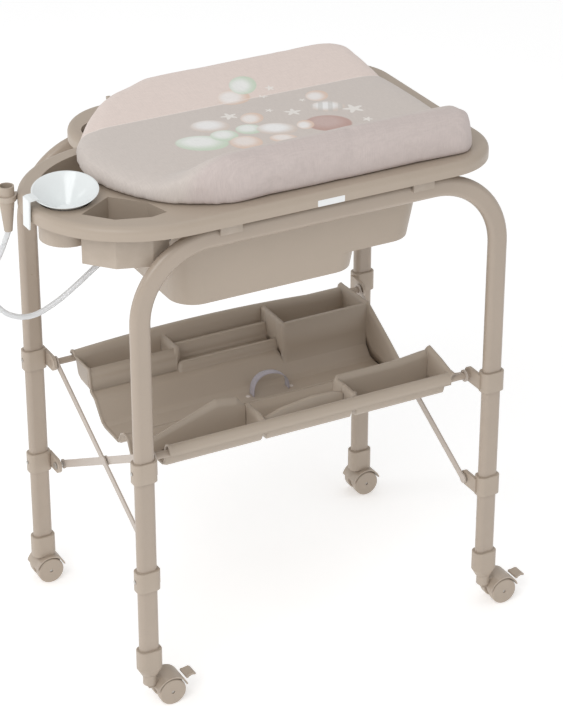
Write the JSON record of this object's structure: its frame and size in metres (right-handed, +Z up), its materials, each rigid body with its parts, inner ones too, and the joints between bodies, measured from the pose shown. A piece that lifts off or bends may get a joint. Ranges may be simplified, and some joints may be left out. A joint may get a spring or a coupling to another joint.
{
  "type": "changing table",
  "caption": "Folding changing table on casters with a bath tub under a flip-up padded mat, rinse bowl, drain hose and a folding storage tray.",
  "frame": {"origin": "middle of the footprint, on the floor under the casters", "axes": "+X along the table's long side to its square end, +Y from the near frame to the far frame, +Z up"},
  "size_m": [0.9422, 0.5246, 1],
  "materials": {
    "frame_paint": "satin",
    "bar_paint": "satin",
    "taupe_plastic": "satin",
    "wheel_plastic": "satin",
    "steel": "satin",
    "white_gloss": "gloss",
    "hose_clear": "satin",
    "mat_fabric": "woven print",
    "board": "matte",
    "strap_webbing": "woven",
    "pearl": "pearl",
    "dark_plastic": "matte",
    "label": "matte"
  },
  "bodies": {
    "far_frame": {"far_frame_tube": "frame_paint", "far_lower_collar_left": "taupe_plastic", "far_lower_collar_right": "taupe_plastic", "far_lower_collar_screws": "steel", "far_foot_left": "taupe_plastic", "far_foot_right": "taupe_plastic", "far_axle_left": "steel", "far_axle_right": "steel"},
    "far_wheels_left": {"far_wheels_left": "wheel_plastic"},
    "far_wheels_right": {"far_wheels_right": "wheel_plastic"},
    "near_frame": {"near_frame_tube": "frame_paint", "near_lower_collar_left": "taupe_plastic", "near_lower_collar_right": "taupe_plastic", "near_lower_collar_screws": "steel", "near_foot_cap_left": "taupe_plastic", "near_foot_cap_right": "taupe_plastic"},
    "near_slider": {"near_upper_collar_left": "taupe_plastic", "near_upper_collar_right": "taupe_plastic", "near_upper_collar_screws": "steel", "near_tray_rod": "frame_paint"},
    "far_slider": {"far_upper_collar_left": "taupe_plastic", "far_upper_collar_right": "taupe_plastic", "far_upper_collar_screws": "steel", "far_tray_rod": "frame_paint"},
    "near_bar_left": {"near_bar_left": "bar_paint", "near_bar_rivets_left": "steel"},
    "near_bar_right": {"near_bar_right": "bar_paint", "near_bar_rivets_right": "steel"},
    "far_bar_left": {"far_bar_left": "bar_paint", "far_bar_rivets_left": "steel"},
    "far_bar_right": {"far_bar_right": "bar_paint", "far_bar_rivets_right": "steel"},
    "near_tray": {"near_tray_half": "taupe_plastic"},
    "far_tray": {"far_tray_half": "taupe_plastic", "tray_strap": "strap_webbing", "strap_knobs": "pearl"},
    "caster_left": {"near_caster_fork_left": "taupe_plastic", "near_axle_left": "steel"},
    "near_wheels_left": {"near_wheels_left": "wheel_plastic"},
    "brake_left": {"near_brake_pedal_left": "taupe_plastic"},
    "caster_right": {"near_caster_fork_right": "taupe_plastic", "near_axle_right": "steel"},
    "near_wheels_right": {"near_wheels_right": "wheel_plastic"},
    "brake_right": {"near_brake_pedal_right": "taupe_plastic"},
    "tub": {"tub_shell": "taupe_plastic", "organiser_pockets": "taupe_plastic", "near_rim_saddles": "taupe_plastic", "far_rim_saddles": "taupe_plastic", "drain_nozzle": "taupe_plastic", "overflow_valve": "dark_plastic", "hose_cone": "taupe_plastic", "hose_clip": "taupe_plastic", "drain_hose": "hose_clear", "mat_hinge_ears": "taupe_plastic", "blank_label": "label"},
    "plug": {"drain_plug": "white_gloss"},
    "bowl": {"rinse_bowl": "white_gloss"},
    "mat": {"mat_board": "board", "mat_pad": "mat_fabric", "mat_hinge_pins": "steel"}
  },
  "joints": [
    {"name": "fold", "type": "hinge", "parent": "far_frame", "child": "far_bar_left", "pos_m": [-0.2747, 0.19525, 0.255], "axis": [-1, 0, 0], "range_deg": [0, 45.79]},
    {"name": "far_bar_right_swing", "type": "hinge", "parent": "far_frame", "child": "far_bar_right", "pos_m": [0.3373, 0.19525, 0.255], "axis": [-1, 0, 0], "range_deg": [0, 45.81]},
    {"name": "scissor_left", "type": "hinge", "parent": "far_bar_left", "child": "near_bar_left", "pos_m": [-0.2772, 0.00025, 0.361], "axis": [1, 0, 0], "range_deg": [0, 91.62]},
    {"name": "scissor_right", "type": "hinge", "parent": "far_bar_right", "child": "near_bar_right", "pos_m": [0.3398, 0.00025, 0.361], "axis": [1, 0, 0], "range_deg": [0, 91.62]},
    {"name": "near_frame_level", "type": "hinge", "parent": "near_bar_left", "child": "near_frame", "pos_m": [-0.2797, -0.19475, 0.255], "axis": [-1, 0, 0], "range_deg": [0, 45.81]},
    {"name": "near_collars_level", "type": "hinge", "parent": "far_bar_left", "child": "near_slider", "pos_m": [-0.2747, -0.19475, 0.467], "axis": [1, 0, 0], "range_deg": [0, 45.81]},
    {"name": "far_collars_level", "type": "hinge", "parent": "near_bar_left", "child": "far_slider", "pos_m": [-0.2797, 0.19525, 0.467], "axis": [-1, 0, 0], "range_deg": [0, 45.81]},
    {"name": "near_tray_drop", "type": "hinge", "parent": "near_slider", "child": "near_tray", "pos_m": [0.0313, -0.19475, 0.467], "axis": [-1, 0, 0], "range_deg": [0, 90.05]},
    {"name": "far_tray_drop", "type": "hinge", "parent": "far_slider", "child": "far_tray", "pos_m": [0.0313, 0.19525, 0.467], "axis": [1, 0, 0], "range_deg": [0, 90.05]},
    {"name": "tub_lift", "type": "slide", "parent": "far_frame", "child": "tub", "axis": [0, 0.2425, 0.9701], "range_m": [0, 0.41252]},
    {"name": "mat_flip", "type": "hinge", "parent": "tub", "child": "mat", "pos_m": [0.0313, 0.25425, 0.922], "axis": [-1, 0, 0], "range_deg": [0, 95]},
    {"name": "bowl_lift", "type": "slide", "parent": "tub", "child": "bowl", "axis": [0, 0, 1], "range_m": [0, 0.12]},
    {"name": "plug_pull", "type": "slide", "parent": "tub", "child": "plug", "axis": [0, 0, 1], "range_m": [0, 0.03]},
    {"name": "caster_left_swivel", "type": "hinge", "parent": "near_frame", "child": "caster_left", "pos_m": [-0.3087, -0.22975, 0.07], "axis": [0, 0, 1], "continuous": true},
    {"name": "near_wheel_left_spin", "type": "hinge", "parent": "caster_left", "child": "near_wheels_left", "pos_m": [-0.2747, -0.22975, 0.025], "axis": [0, 1, 0], "continuous": true},
    {"name": "brake_left_press", "type": "hinge", "parent": "caster_left", "child": "brake_left", "pos_m": [-0.2422, -0.22975, 0.041], "axis": [0, 1, 0], "range_deg": [0, 18]},
    {"name": "far_wheel_left_spin", "type": "hinge", "parent": "far_frame", "child": "far_wheels_left", "pos_m": [-0.3037, 0.23025, 0.025], "axis": [0, 1, 0], "continuous": true},
    {"name": "caster_right_swivel", "type": "hinge", "parent": "near_frame", "child": "caster_right", "pos_m": [0.3713, -0.22975, 0.07], "axis": [0, 0, 1], "continuous": true},
    {"name": "near_wheel_right_spin", "type": "hinge", "parent": "caster_right", "child": "near_wheels_right", "pos_m": [0.4053, -0.22975, 0.025], "axis": [0, 1, 0], "continuous": true},
    {"name": "brake_right_press", "type": "hinge", "parent": "caster_right", "child": "brake_right", "pos_m": [0.4378, -0.22975, 0.041], "axis": [0, 1, 0], "range_deg": [0, 18]},
    {"name": "far_wheel_right_spin", "type": "hinge", "parent": "far_frame", "child": "far_wheels_right", "pos_m": [0.3763, 0.23025, 0.025], "axis": [0, 1, 0], "continuous": true}
  ],
  "couplings": [
    {"joint": "far_bar_right_swing", "follows": "fold", "ratio": 1},
    {"joint": "scissor_left", "follows": "fold", "ratio": 2},
    {"joint": "scissor_right", "follows": "fold", "ratio": 2},
    {"joint": "near_frame_level", "follows": "fold", "ratio": 1},
    {"joint": "near_collars_level", "follows": "fold", "ratio": 1},
    {"joint": "far_collars_level", "follows": "fold", "ratio": 1},
    {"joint": "near_tray_drop", "follows": "fold", "ratio": 1.9656},
    {"joint": "far_tray_drop", "follows": "fold", "ratio": 1.9656},
    {"joint": "tub_lift", "follows": "fold", "m_per_rad": 0.51594}
  ]
}
